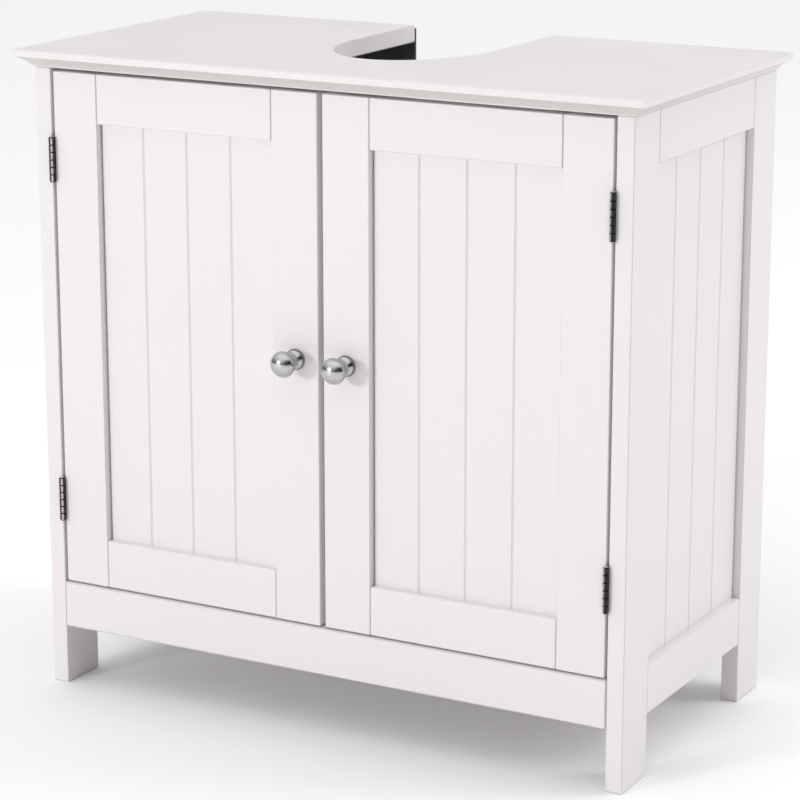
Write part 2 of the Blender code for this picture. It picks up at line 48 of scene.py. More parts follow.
# camera and light
cameraSet = {
    "place": (1.2478, -2.2578, 0.9566),  # metres
    "turn": 28.883,   # degrees to the left of straight ahead
    "tilt": 14.708,   # degrees down
    "lens": 130.8,    # millimetres
    "sensor": 36.0,   # millimetres wide
    "near": 0.05, "far": 60.0,
}


def makeCamera():  # turned about the upright axis, then leaned down from level
    data = bpy.data.cameras.new("camera")
    data.lens = cameraSet["lens"]
    data.sensor_width = cameraSet["sensor"]
    data.clip_start, data.clip_end = cameraSet["near"], cameraSet["far"]
    camera = bpy.data.objects.new("camera", data)
    camera.location = cameraSet["place"]
    lean = quarter - math.radians(cameraSet["tilt"])
    camera.rotation_euler = (lean, 0.0, math.radians(cameraSet["turn"]))
    bpy.context.collection.objects.link(camera)
    bpy.context.scene.camera = camera


lightSet = {
    # name: place, what it looks at, width, height, watts
    "keyLight": ((-1.600, -3.590, 1.10), (0.0, 0.0, 0.30), 0.55, 0.55, 44.0),
    "sideLight": ((3.18, 1.69, 1.98), (0.0, 0.0, 0.30), 1.4, 1.4, 42.0),
}


def makeLights():  # each lamp faces along the line from its place to its aim
    for name, (place, aim, width, height, watts) in lightSet.items():
        data = bpy.data.lights.new(name, "AREA")
        data.shape, data.size, data.size_y, data.energy = "RECTANGLE", width, height, watts
        lamp = bpy.data.objects.new(name, data)
        lamp.location = place
        lamp.visible_camera = False
        lamp.rotation_euler = (Vector(aim) - Vector(place)).to_track_quat("-Z", "Y").to_euler()
        bpy.context.collection.objects.link(lamp)


# shader building
class Wire:  # one socket of a shader: sums on it add Math nodes
    def __init__(self, tree, socket=None):
        self.tree, self.socket = tree, socket

    def node(self, kind, settings, values, output=0):  # any node: settings first, then its sockets
        made = self.tree.nodes.new("ShaderNode" + kind)
        for key, value in settings.items():
            setattr(made, key, value)
        for key, value in values.items():
            if isinstance(value, Wire):
                self.tree.links.new(value.socket, made.inputs[key])
            else:
                made.inputs[key].default_value = value
        return Wire(self.tree, made.outputs[output])

    def sum(self, operation, first, second=0.0):  # one Math node of two values
        return self.node("Math", {"operation": operation}, {0: first, 1: second})

    def __add__(self, other):
        return self.sum("ADD", self, other)

    def __sub__(self, other):
        return self.sum("SUBTRACT", self, other)

    def __rsub__(self, other):
        return self.sum("SUBTRACT", other, self)

    def __mul__(self, other):
        return self.sum("MULTIPLY", self, other)

    __radd__, __rmul__ = __add__, __mul__

    def above(self, level):  # what stands over a level, never less than nothing
        return self.sum("MAXIMUM", self - level, 0.0)

    def noise(self, scale, detail=2.0, rough=0.5):  # this wire is the place that the noise is read at
        values = {"Vector": self, "Scale": scale, "Detail": detail, "Roughness": rough}
        return self.node("TexNoise", {}, values)

    def stretched(self, scale):  # the place, squeezed so that a noise read there has a grain
        return self.node("Mapping", {}, {"Vector": self, "Scale": scale})

    def blend(self, first, second):  # this wire mixes two colours
        return self.node("Mix", {"data_type": "RGBA"}, {0: self, 6: first, 7: second}, 2)

    def attribute(self, name):  # a value stored on the piece, point by point
        return self.node("Attribute", {"attribute_name": name}, {}, "Fac")


def colour(red, green, blue):  # opaque, as the sockets want it
    return (red, green, blue, 1.0)


def makeFinish(name, look, fixed):  # look gives what varies over the surface, fixed what doesn't
    material = bpy.data.materials.new(name)
    material.use_nodes = True
    tree = material.node_tree
    tree.nodes.clear()
    wire = Wire(tree)
    shade, roughness, height, depth = look(wire.node("TexCoord", {}, {}, "Object"))
    bump = wire.node("Bump", {}, {"Strength": 1.0, "Distance": depth, "Height": height})
    values = {"Base Color": shade, "Roughness": roughness, "Normal": bump, **fixed}
    shader = wire.node("BsdfPrincipled", {}, values)
    output = tree.nodes.new("ShaderNodeOutputMaterial")
    tree.links.new(shader.socket, output.inputs["Surface"])
    return material


paintSet = {
    "white": colour(0.835, 0.797, 0.799),
    "cloudy": colour(0.806, 0.770, 0.771),   # slow drift of the sprayed coat
    "primer": colour(0.560, 0.535, 0.520),   # shows where an edge is rubbed, and as painted shade with dust in a hollow
    "peelScale": 850.0, "peelDepth": 0.000022, "peel": 0.55,   # bumps a millimetre across
    "waveScale": 34.0, "wave": 3.2,                            # long swells under them
    "driftScale": 5.0, "drift": 0.75, "mottleScale": 60.0, "mottle": 0.25,   # tone
    "rubScale": 140.0, "rubUneven": 0.9, "rubEven": 0.25, "primerShows": 0.80,
    "roughness": 0.36, "patchScale": 11.0, "patch": 0.16, "grainScale": 420.0, "grain": 0.05,
    "rubPolish": 0.10, "dustDull": 0.14,
}


# sprayed satin lacquer: slow drift of tone, orange peel about a millimetre across, edges rubbed smoother, and
# painted shade with dust in the hollows
def paintLook(place):
    paint = paintSet
    edge = place.attribute("edge")
    rubbed = edge.above(0.0) * (place.noise(paint["rubScale"], 3.0) * paint["rubUneven"] + paint["rubEven"])
    # painted shade with some dust: where the edge value is below nothing, in a hollow, the primer colour is
    # mixed in
    dusty = (0.0 - edge).above(0.0)
    drift = place.noise(paint["driftScale"], 2.0) * paint["drift"]
    drift = drift + place.noise(paint["mottleScale"], 3.0) * paint["mottle"]
    shade = drift.blend(paint["white"], paint["cloudy"])
    shade = (rubbed * paint["primerShows"] + dusty * paint["primerShows"]).blend(shade, paint["primer"])
    roughness = (place.noise(paint["patchScale"], 3.0) - 0.5) * paint["patch"]
    roughness = roughness + place.noise(paint["grainScale"], 2.0) * paint["grain"] + paint["roughness"]
    roughness = roughness - rubbed * paint["rubPolish"] + dusty * paint["dustDull"]
    peel = place.noise(paint["peelScale"], 1.5, 0.4) * paint["peel"]
    peel = peel + place.noise(paint["waveScale"], 2.0) * paint["wave"]
    return shade, roughness, peel, paint["peelDepth"]


fibreSet = {
    "dark": colour(0.060, 0.063, 0.060), "light": colour(0.098, 0.101, 0.096),
    "matting": (1.0, 1.0, 0.35), "fibreScale": 900.0, "clumpScale": 130.0,
    "fibre": 0.6, "clump": 0.4, "cutEdge": 0.25,
    "roughness": 0.62, "rough": 0.22, "clumpHeight": 0.8, "depth": 0.00006,
}


# hard fibreboard: matted fibres in two sizes, paler along the cut edges
def fibreLook(place):
    fibres = place.stretched(fibreSet["matting"]).noise(fibreSet["fibreScale"], 4.0, 0.65)
    clumps = place.noise(fibreSet["clumpScale"], 3.0)
    cut = place.attribute("edge").above(0.0) * fibreSet["cutEdge"]
    mix = fibres * fibreSet["fibre"] + clumps * fibreSet["clump"] + cut
    shade = mix.blend(fibreSet["dark"], fibreSet["light"])
    roughness = fibreSet["roughness"] + fibres * fibreSet["rough"]
    return shade, roughness, fibres + clumps * fibreSet["clumpHeight"], fibreSet["depth"]


nickelSet = {
    "bright": colour(0.62, 0.616, 0.61), "dull": colour(0.42, 0.416, 0.41),
    "tarnish": colour(0.13, 0.128, 0.125),   # painted dark reflection where the outline bends sharply
    "ring": 5200.0, "hazeScale": 160.0, "haze": 0.6, "marks": 0.4,
    # where along the bends the painted dark reflection begins, and how strongly it darkens
    "bendFrom": 0.30, "film": 1.3,
    "roughness": 0.13, "roughMarks": 0.10, "roughHaze": 0.08, "roughBend": 0.10, "depth": 0.0000035,
}


# satin nickel: turning marks run round the knob, so they are read along its outline only; a painted dark
# reflection darkens it where the outline bends sharply
def nickelLook(place):
    nickel = nickelSet
    along = place.attribute("along")
    marks = place.node("TexNoise", {"noise_dimensions": "1D"}, {"W": along * nickel["ring"], "Detail": 3.0})
    hazy = place.noise(nickel["hazeScale"], 3.0)
    shade = (hazy * nickel["haze"] + marks * nickel["marks"]).blend(nickel["bright"], nickel["dull"])
    bend = place.attribute("edge").above(nickel["bendFrom"])
    # painted dark reflection along the sharp bends
    shade = (bend * nickel["film"]).blend(shade, nickel["tarnish"])
    roughness = nickel["roughness"] + marks * nickel["roughMarks"]
    roughness = roughness + hazy * nickel["roughHaze"] + bend * nickel["roughBend"]
    return shade, roughness, marks, nickel["depth"]


steelSet = {
    "dark": colour(0.030, 0.029, 0.029), "bare": colour(0.62, 0.61, 0.60),
    "wearScale": 700.0, "wearEven": 0.5, "pitScale": 380.0, "pitFrom": 0.56, "pit": 1.2,
    "roughness": 0.15, "roughPits": 0.18, "wearPolish": 0.04, "depth": 0.000008,
}


# blackened steel: a thin dark coat, rubbed to bare metal along edges, pitted a little, with a painted
# highlight in the bare colour down each knuckle
def steelLook(place):
    steel = steelSet
    # wear: bare metal along rubbed edges, and on the knuckles the painted highlight stripe
    wear = place.attribute("edge").above(0.0) * (place.noise(steel["wearScale"], 3.0) + steel["wearEven"])
    patch = place.noise(steel["pitScale"], 4.0, 0.6)
    shade = (patch.above(steel["pitFrom"]) * steel["pit"] + wear).blend(steel["dark"], steel["bare"])
    roughness = steel["roughness"] + patch * steel["roughPits"] - wear * steel["wearPolish"]
    return shade, roughness, patch, steel["depth"]


zincSet = {
    "light": colour(0.62, 0.63, 0.64), "dark": colour(0.44, 0.45, 0.47),
    "spangleScale": 1100.0, "filmScale": 240.0, "share": 0.5,
    "roughness": 0.26, "roughFilm": 0.18, "spangleHeight": 0.3, "filmHeight": 0.7, "depth": 0.000010,
}


# bright zinc plate: faint spangle and a cloudy film
def zincLook(place):
    zinc = zincSet
    spangle = place.node("TexVoronoi", {}, {"Vector": place, "Scale": zinc["spangleScale"]}, "Distance")
    film = place.noise(zinc["filmScale"], 4.0)
    shade = (spangle * zinc["share"] + film * zinc["share"]).blend(zinc["light"], zinc["dark"])
    height = spangle * zinc["spangleHeight"] + film * zinc["filmHeight"]
    return shade, zinc["roughness"] + film * zinc["roughFilm"], height, zinc["depth"]


plasticSet = {
    "white": colour(0.80, 0.795, 0.775), "shadow": colour(0.72, 0.712, 0.690),
    "grainScale": 1500.0, "flowStretch": (0.4, 1.0, 1.0), "flowScale": 70.0, "flow": 0.7, "grain": 0.3,
    "roughness": 0.40, "roughGrain": 0.14, "depth": 0.000018,
}


# moulded plastic: spark-eroded grain and a soft flow pattern
def plasticLook(place):
    plastic = plasticSet
    grain = place.noise(plastic["grainScale"], 2.0, 0.6)
    flow = place.stretched(plastic["flowStretch"]).noise(plastic["flowScale"], 3.0)
    shade = (flow * plastic["flow"] + grain * plastic["grain"]).blend(plastic["white"], plastic["shadow"])
    return shade, plastic["roughness"] + grain * plastic["roughGrain"], grain, plastic["depth"]


beechSet = {
    "pale": colour(0.62, 0.44, 0.27), "fleck": colour(0.40, 0.25, 0.13),
    "grainStretch": (0.12, 1.0, 1.0), "grainScale": 900.0,
    "roughness": 0.58, "roughGrain": 0.2, "depth": 0.00008,
}


# beech: short dark flecks lying along the grain, raised a little
def beechLook(place):
    grain = place.stretched(beechSet["grainStretch"]).noise(beechSet["grainScale"], 4.0, 0.6)
    shade = grain.blend(beechSet["pale"], beechSet["fleck"])
    return shade, beechSet["roughness"] + grain * beechSet["roughGrain"], grain, beechSet["depth"]


floorSet = {
    "size": 40.0, "pale": colour(0.95, 0.95, 0.95), "shade": colour(0.935, 0.935, 0.935),
    "cloudScale": 2.5, "roughness": 0.62, "roughCloud": 0.1, "grainScale": 60.0, "depth": 0.00004,
}


# smooth painted studio floor
def floorLook(place):
    cloud = place.noise(floorSet["cloudScale"], 3.0)
    shade = cloud.blend(floorSet["pale"], floorSet["shade"])
    roughness = floorSet["roughness"] + cloud * floorSet["roughCloud"]
    return shade, roughness, place.noise(floorSet["grainScale"], 2.0), floorSet["depth"]


metal = {"Metallic": 1.0}
finishes = {
    "white_paint": makeFinish("whitePaint", paintLook, {"Metallic": 0.0, "IOR": 1.47}),
    "grey_fibreboard": makeFinish("greyFibreboard", fibreLook, {"Metallic": 0.0}),
    "brushed_nickel": makeFinish("brushedNickel", nickelLook, metal),
    "dark_steel": makeFinish("darkSteel", steelLook, metal),
    "zinc": makeFinish("zincPlate", zincLook, metal),
    "white_plastic": makeFinish("whitePlastic", plasticLook, {"Metallic": 0.0}),
    "beech": makeFinish("beechWood", beechLook, {"Metallic": 0.0}),
}
floorFinish = makeFinish("studioFloor", floorLook, {"Metallic": 0.0})
print("finishes made:", ", ".join(finishes))


# shapes as grids of points
def unit(vectors):  # each vector over its own length
    return vectors / np.linalg.norm(vectors, axis=-1, keepdims=True)


# a closed outline whose corners become arcs: an arc's centre lies off both edges by the radius, and its
# points swing from one edge's normal to the next; edge is 1 on an outer arc, -1 in a hollow one
def roundedOutline(corners, radii, steps):
    corners = np.asarray(corners, float)
    before = unit(corners - np.roll(corners, 1, 0))
    after = np.roll(before, -1, 0)
    turn = np.arctan2(before[:, 0] * after[:, 1] - before[:, 1] * after[:, 0], (before * after).sum(1))
    signed = np.sign(turn) * radii
    normal = np.stack((before[:, 1], -before[:, 0]), 1)
    centre = corners - before * (radii * np.tan(abs(turn) / 2))[:, None] - normal * signed[:, None]
    share = np.linspace(0.0, 1.0, steps + 1)
    swing = turn[:, None] * share
    across, up = normal[:, :1], normal[:, 1:]
    cosine, sine = np.cos(swing), np.sin(swing)
    normals = np.stack((across * cosine - up * sine, across * sine + up * cosine), -1)
    points = centre[:, None] + normals * signed[:, None, None]
    edge = np.sign(turn)[:, None] * np.sin(math.pi * share)
    return points.reshape(-1, 2), normals.reshape(-1, 2), edge.ravel()


# an outline carried straight from one height to another, drawn in at both ends along a quarter round
def carried(outline, start, end, ease, steps=3):
    points, normals, edge = outline
    sweep = np.linspace(0.0, quarter, steps + 1)
    lean = np.concatenate((-sweep[::-1], sweep))[:, None]
    height = np.concatenate((start + ease - ease * np.sin(sweep[::-1]), end - ease + ease * np.sin(sweep)))
    flat = points - normals * (ease * (1 - np.cos(lean)))[..., None]
    rings = np.concatenate((flat, np.broadcast_to(height[:, None, None], flat.shape[:2] + (1,))), -1)
    sides = normals * np.cos(lean)[..., None]
    tops = np.broadcast_to(np.sin(lean)[..., None], sides.shape[:2] + (1,))
    rounding = abs(np.sin(2 * lean))
    # edge values: wear on the outer rounds, painted shade with dust in the hollows
    wearAndShade = edge * (1 - rounding) + rounding
    return {"rings": rings, "normals": np.concatenate((sides, tops), -1), "edge": wearAndShade}


# a line through the given points, each piece a cubic that leaves and arrives along its neighbours' chord
def smoothLine(knots, steps):
    knots = np.asarray(knots, float)
    padded = np.concatenate((2 * knots[:1] - knots[1:2], knots, 2 * knots[-1:] - knots[-2:-1]))
    slope = (padded[2:] - padded[:-2]) / 2
    t = np.linspace(0.0, 1.0, steps, endpoint=False)[None, :, None]
    a, b, da, db = knots[:-1, None], knots[1:, None], slope[:-1, None], slope[1:, None]
    line = (2*t**3 - 3*t**2 + 1) * a + (t**3 - 2*t**2 + t) * da + (3*t**2 - 2*t**3) * b + (t**3 - t**2) * db
    run = (6*t**2 - 6*t) * a + (3*t**2 - 4*t + 1) * da + (6*t - 6*t**2) * b + (3*t**2 - 2*t) * db
    return np.concatenate((line.reshape(-1, 2), knots[-1:])), np.concatenate((run.reshape(-1, 2), slope[-1:]))


sharpRadius = 0.0030  # metres: a bend this tight counts as a whole edge


# angles at equal steps round a whole turn, and the unit circle's points there
def wholeTurn(facets):
    angle = np.arange(facets) * (2 * math.pi / facets)
    return angle, np.stack((np.cos(angle), np.sin(angle)), -1)


# pairs of (outward, upright) carried round the upright axis
def spun(pairs, circle):
    return np.concatenate((pairs[:, None, :1] * circle, pairs[:, None, 1:] + 0 * circle[:, :1]), -1)


# a line of (radius, height) turned about the upright axis; the outward normal is the line's direction
# turned a quarter, along is the length walked on the line, and edge is how far the normal turns per length,
# as a share of a sharp bend's turn
def turned(line, run, facets):
    circle = wholeTurn(facets)[1]
    out = unit(np.stack((run[:, 1], -run[:, 0]), -1))
    walked = np.concatenate(([0.0], np.cumsum(np.linalg.norm(np.diff(line, axis=0), axis=1))))
    steps = np.maximum(np.linalg.norm(np.gradient(line, axis=0), axis=1), 1e-9)
    bend = np.clip(np.linalg.norm(np.gradient(out, axis=0), axis=1) / steps * sharpRadius, 0.0, 1.0)
    spread = np.ones((1, facets))
    return {"rings": spun(line, circle), "normals": spun(out, circle),
            "along": walked[:, None] * spread, "edge": bend[:, None] * spread}


# turns a shell from its own axes so that its upright points along a direction, and moves it to a place
def placed(shell, place, direction=(0, 0, 1)):
    ahead = np.asarray(direction, float)
    across = np.roll(abs(ahead), 1)
    axes = np.stack((across, np.cross(ahead, across), ahead))
    moved = dict(shell, rings=shell["rings"] @ axes + np.asarray(place, float))
    if "normals" in shell:
        moved["normals"] = shell["normals"] @ axes
    return moved


# the faces of a shell: quads between neighbouring rings, and a flat cap on the first and last unless the
# rings close on themselves; a corner keeps its own normal, or its face's where the shell has none
def shellFaces(shell):
    rings = shell["rings"]
    count, around = rings.shape[:2]
    index = np.arange(count * around).reshape(count, around)
    closed = shell.get("closed", False)
    low, high = (index, np.roll(index, -1, 0)) if closed else (index[:-1], index[1:])
    quads = np.stack((low, np.roll(low, -1, 1), np.roll(high, -1, 1), high), -1).reshape(-1, 4)
    flat = rings.reshape(-1, 3)
    if "normals" in shell:
        corners = shell["normals"].reshape(-1, 3)[quads].reshape(-1, 3)
    else:
        face = np.cross(flat[quads[:, 2]] - flat[quads[:, 0]], flat[quads[:, 3]] - flat[quads[:, 1]])
        corners = np.repeat(face / np.maximum(np.linalg.norm(face, axis=1, keepdims=True), 1e-15), 4, 0)
    loops, sizes = [quads.ravel()], [np.full(len(quads), 4)]
    normals = [corners]
    if not closed:
        for cap in (index[0][::-1], index[-1]):
            ring = flat[cap]
            area = np.cross(ring, np.roll(ring, -1, 0)).sum(0)
            loops.append(cap)
            sizes.append(np.array([around]))
            normals.append(np.repeat(unit(area)[None], around, 0))
    return flat, np.concatenate(loops), np.concatenate(sizes), np.concatenate(normals)


def makePiece(name, shells, slot, body, nodes=()):  # one mesh of closed shells, riding on a body
    points, loops, sizes, normals, edge, along = [], [], [], [], [], []
    offset = 0
    for shell in shells:
        flat, corner, size, normal = shellFaces(shell)
        points.append(flat)
        loops.append(corner + offset)
        sizes.append(size)
        normals.append(normal)
        edge.append(np.broadcast_to(shell.get("edge", 0.0), shell["rings"].shape[:2]).ravel())
        along.append(np.broadcast_to(shell.get("along", 0.0), shell["rings"].shape[:2]).ravel())
        offset += len(flat)
    points, loops, sizes, normals = map(np.concatenate, (points, loops, sizes, normals))
    mesh = bpy.data.meshes.new(name)
    mesh.vertices.add(len(points))
    mesh.vertices.foreach_set("co", points.astype(np.float32).ravel())
    mesh.loops.add(len(loops))
    mesh.loops.foreach_set("vertex_index", loops.astype(np.int32))
    mesh.polygons.add(len(sizes))
    mesh.polygons.foreach_set("loop_start", (np.cumsum(sizes) - sizes).astype(np.int32))
    mesh.update(calc_edges=True)
    mesh.polygons.foreach_set("use_smooth", np.ones(len(sizes), bool))
    mesh.normals_split_custom_set(normals.astype(np.float32).tolist())
    for label, values in (("edge", edge), ("along", along)):
        layer = mesh.attributes.new(label, "FLOAT", "POINT")
        layer.data.foreach_set("value", np.concatenate(values).astype(np.float32))
    mesh.materials.append(finishes[slot])
    piece = bpy.data.objects.new(name, mesh)
    bpy.context.collection.objects.link(piece)
    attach(piece, body)
    if nodes:
        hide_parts(*nodes)
    return piece


def camel(node):  # left_door_top_rail becomes leftDoorTopRail
    first, *rest = node.split("_")
    return first + "".join(word.capitalize() for word in rest)


def boxOf(node):  # the lowest and the highest corner of a part
    low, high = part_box(node)
    return np.array(low), np.array(high)


# boards
boardEdges = {
    "arris": 0.0010, "ends": 0.0010, "thin": 0.0005, "steps": 4,
    "frontRail": 0.0020, "frontRailEnds": 0.0016,
    "lowRail": 0.0016, "lowRailWear": 0.1,   # bottom rails have a fuller round on top, painted thick
}


# a board: a rectangle with rounded corners carried along its longest side
def easedBoard(low, high, arris, ends):
    size = high - low
    axis = int(np.argmax(size))
    u, v = (axis + 1) % 3, (axis + 2) % 3
    frameCorners = [(low[u], low[v]), (high[u], low[v]), (high[u], high[v]), (low[u], high[v])]
    outline = roundedOutline(frameCorners, np.full(4, arris), boardEdges["steps"])
    shell = carried(outline, low[axis], high[axis], ends)
    rings, normals = (np.roll(shell[part], axis + 1, -1) for part in ("rings", "normals"))
    return dict(shell, rings=rings, normals=normals)


# the eased board that fills a part's box, with its wear scaled
def makeBoard(node, body, arris=boardEdges["arris"], ends=boardEdges["ends"], wear=1.0):
    shell = easedBoard(*boxOf(node), arris, ends)
    shell["edge"] = shell["edge"] * wear
    return makePiece(camel(node), [shell], "white_paint", body, [node])


for side in ("left", "right"):
    for part in ("front_leg", "rear_leg", "top_rail"):
        makeBoard(f"{side}_{part}", "cabinet")
    for part in ("hinge_stile", "knob_stile", "top_rail"):
        makeBoard(f"{side}_door_{part}", f"{side}_door")
    for rail, body in ((f"{side}_bottom_rail", "cabinet"), (f"{side}_door_bottom_rail", f"{side}_door")):
        makeBoard(rail, body, boardEdges["lowRail"], wear=boardEdges["lowRailWear"])
makeBoard("front_bottom_rail", "cabinet", boardEdges["frontRail"], boardEdges["frontRailEnds"])
makeBoard("rear_bottom_rail", "cabinet")
makeBoard("bottom_board", "cabinet")
print("boards made")


# beaded panels
beadSet = {
    "boards": 4, "groove": 0.0026, "lip": 0.0003, "root": 0.00015, "rim": 0.0006, "steps": 3,
    "slot": 0.0014, "slotDepth": 0.0030,   # gap left between the panel's face and its frame
}


# a flat panel whose face has V grooves at equal steps across its opening and a square slot along each
# side of it: the section is one closed outline, laid out as (across, outwards) and carried upright
def beadPanel(node, across, outwards, opening):
    low, high = boxOf(node)
    across, outwards = np.asarray(across, float), np.asarray(outwards, float)
    reach = np.stack((low[:2], high[:2]))
    start, end = sorted(reach @ across)
    back, face = sorted(reach @ outwards)
    first, last = sorted(np.asarray(opening) * across.sum())
    half = beadSet["groove"] / 2
    middles = first + (last - first) * np.arange(beadSet["boards"] - 1, 0, -1) / beadSet["boards"]
    slot, sunk = beadSet["slot"], face - beadSet["slotDepth"]
    grooves = np.stack((middles + half, middles, middles - half), 1).ravel()
    depth = np.tile((face, face - half, face), len(middles))
    lip, root, rim = beadSet["lip"], beadSet["root"], beadSet["rim"]
    section = np.concatenate((
        [(start, back), (end, back), (end, sunk), (last - slot, sunk), (last - slot, face)],
        np.stack((grooves, depth), 1),
        [(first + slot, face), (first + slot, sunk), (start, sunk)]))
    grooveRadii = np.tile((lip, root, lip), len(middles))
    radii = np.concatenate(((rim, rim, rim, root, lip), grooveRadii, (lip, root, rim)))
    points, normals, edge = roundedOutline(section, radii, beadSet["steps"])
    axes = np.stack((across, outwards))
    return carried((points @ axes, normals @ axes, edge), low[2], high[2], beadSet["root"])


for side, sign in (("left", -1), ("right", 1)):
    frontLeg, rearLeg = boxOf(f"{side}_front_leg"), boxOf(f"{side}_rear_leg")
    sideShell = beadPanel(f"{side}_bead_panel", (0, -sign), (sign, 0), (frontLeg[1][1], rearLeg[0][1]))
    makePiece(f"{side}BeadPanel", [sideShell], "white_paint", "cabinet", [f"{side}_bead_panel"])
    knobStile, hingeStile = boxOf(f"{side}_door_knob_stile"), boxOf(f"{side}_door_hinge_stile")
    spots = sorted((knobStile[0][0], knobStile[1][0], hingeStile[0][0], hingeStile[1][0]))
    doorShell = beadPanel(f"{side}_door_bead_panel", (-1, 0), (0, -1), (spots[1], spots[2]))
    makePiece(f"{side}DoorBeadPanel", [doorShell], "white_paint", f"{side}_door", [f"{side}_door_bead_panel"])
print("beaded panels made")


# top board
topSet = {
    "corner": 0.0010,        # rounding of the upright corners
    # moulded edge from the underside up: radius (below nothing for a hollow), lean it turns to in degrees
    # below or above level, and the straight run that follows
    "lean": -90.0,
    "mould": ((0.0004, -41.0, 0.0), (-0.03485, -68.0, 0.0), (-0.0002, -90.0, 0.0002), (0.0005, 0.0, 0.0041),
              (0.0018, 90.0, 0.0)),
    "rubbed": 0.15, "dusty": 0.95,   # wear of the rounds, painted shade with dust in the hollow
    "plain": 0.0008,         # easing of the back and cut-out edges
    # cut-out: half its width, where its rounded end begins, and how long that end is
    "slotHalf": 0.073, "slotEnd": 0.053, "slotLength": 0.107,
    "steps": 7, "slotSteps": 72,
}


# heights, insets, leans and wear of the moulded edge from the underside up, where a hollow's wear stands for
# painted shade with dust: over each stretch the lean turns evenly, and a point moves from the last by the
# radius times the change in the lean's sine (up) and cosine (out); then it runs straight on for a while
def mouldedEdge(thickness):
    before = math.radians(topSet["lean"])
    height, out, leans, wear = [np.zeros(1)], [np.zeros(1)], [np.array([before])], [np.zeros(1)]
    for radius, after, straight in topSet["mould"]:
        share = np.linspace(0.0, 1.0, topSet["steps"] + 1)[1:]
        lean = before + (math.radians(after) - before) * share
        height.append(height[-1][-1] + radius * (np.sin(lean) - math.sin(before)))
        out.append(out[-1][-1] + radius * (np.cos(lean) - math.cos(before)))
        leans.append(lean)
        # a hollow gets a negative value, which the paint shows as painted shade with dust
        wear.append(np.sin(math.pi * share) * topSet["rubbed"] if radius > 0 else 0 * share - topSet["dusty"])
        before = lean[-1]
        if straight:
            height.append(height[-1][-1:] + straight * math.cos(before))
            out.append(out[-1][-1:] - straight * math.sin(before))
            leans.append(lean[-1:])
            wear.append(0 * wear[-1][-1:])
    height, out, leans, wear = map(np.concatenate, (height, out, leans, wear))
    return height * (thickness / height[-1]), out.max() - out, leans, wear


# the same heights on a plain edge, with only a small round at each arris
def plainEdge(height, thickness):
    ease = topSet["plain"]
    sine = np.clip((height - thickness + ease) / ease, 0, 1) - np.clip((ease - height) / ease, 0, 1)
    return ease * (1 - np.sqrt(1 - sine**2)), np.arcsin(sine)


# the outline seen from above, as places with the outward directions of the edge before and the edge
# after: a corner is a small arc between the two, and the cut-out's end is half an ellipse
def topOutline(low, high):
    half, middle = topSet["slotHalf"], topSet["slotEnd"]
    left, front, right, back = (-1, 0), (0, -1), (1, 0), (0, 1)
    bends = [  # place, outward before, outward after, moulded before, moulded after
        ((low[0], low[1]), left, front, 1, 1), ((high[0], low[1]), front, right, 1, 1),
        ((high[0], high[1]), right, back, 1, 0), ((half, high[1]), back, left, 0, 0),
        None, ((-half, high[1]), right, back, 0, 0), ((low[0], high[1]), back, left, 0, 1)]
    angle = np.linspace(0, quarter, topSet["steps"])[:, None]
    rows = []
    for bend in bends:
        if bend is None:
            swing = -np.linspace(0, math.pi, topSet["slotSteps"] + 1)[:, None]
            ring = np.concatenate((np.cos(swing), np.sin(swing)), 1)
            inward = -unit(ring / (half, topSet["slotLength"]))
            spot = ring * (half, topSet["slotLength"]) + (0, middle)
            rows.append((spot, inward, 0 * ring, inward, swing[:, 0] * 0, swing[:, 0] * 0))
            continue
        place, before, after, mouldedBefore, mouldedAfter = bend
        before, after = np.array(before, float), np.array(after, float)
        out = before * np.cos(angle) + after * np.sin(angle)
        spot = np.array(place) - topSet["corner"] * (before + after) + topSet["corner"] * out
        one = np.ones(len(angle))
        sides = (one[:, None] * before, one[:, None] * after)
        rows.append((spot, *sides, out, one * mouldedBefore, one * mouldedAfter))
    return [np.concatenate(column) for column in zip(*rows)]


# each outline point is drawn in by the inset of the edge before it and of the edge after it, at every height
def topShell():
    low, high = boxOf("top_board")
    thickness = high[2] - low[2]
    height, inset, lean, wear = mouldedEdge(thickness)
    plainInset, plainLean = plainEdge(height, thickness)
    spot, before, after, out, mouldedBefore, mouldedAfter = topOutline(low, high)
    drawnBefore, drawnAfter = (np.where(kind > 0.5, inset[:, None], plainInset[:, None])
                               for kind in (mouldedBefore, mouldedAfter))
    flat = spot - before * drawnBefore[..., None] - after * drawnAfter[..., None]
    share = (mouldedBefore + mouldedAfter) / 2
    tilt = lean[:, None] * share + plainLean[:, None] * (1 - share)
    upright = np.broadcast_to((low[2] + height)[:, None, None], flat.shape[:2] + (1,))
    rings = np.concatenate((flat, upright), -1)
    normals = np.concatenate((out * np.cos(tilt)[..., None], np.sin(tilt)[..., None]), -1)
    # wear on the rounds, painted shade with dust in the hollow
    wearAndShade = wear[:, None] * share + abs(np.sin(2 * plainLean))[:, None] * (1 - share)
    return {"rings": rings, "normals": normals, "edge": wearAndShade}


makePiece("topBoard", [topShell()], "white_paint", "cabinet", ["top_board"])
print("top made")


# knobs
knobSet = {
    # outline as (radius, distance from the door), from the foot to the crown
    "outline": ((0.0094, 0.0), (0.0095, 0.0014), (0.0089, 0.0030), (0.0071, 0.0048), (0.0057, 0.0070),
                (0.0053, 0.0100), (0.0061, 0.0130), (0.0084, 0.0158), (0.0107, 0.0186), (0.0117, 0.0213),
                (0.0112, 0.0240), (0.0094, 0.0268), (0.0066, 0.0290), (0.0034, 0.0302), (0.0002, 0.0305)),
    "steps": 5, "facets": 96,
}
for side in ("left", "right"):
    low, high = boxOf(f"{side}_knob")
    middle = (low + high) / 2
    line, run = smoothLine(knobSet["outline"], knobSet["steps"])
    knob = placed(turned(line, run, knobSet["facets"]), (middle[0], high[1], middle[2]), (0, -1, 0))
    makePiece(f"{side}Knob", [knob], "brushed_nickel", f"{side}_door", [f"{side}_knob"])
print("knobs made")


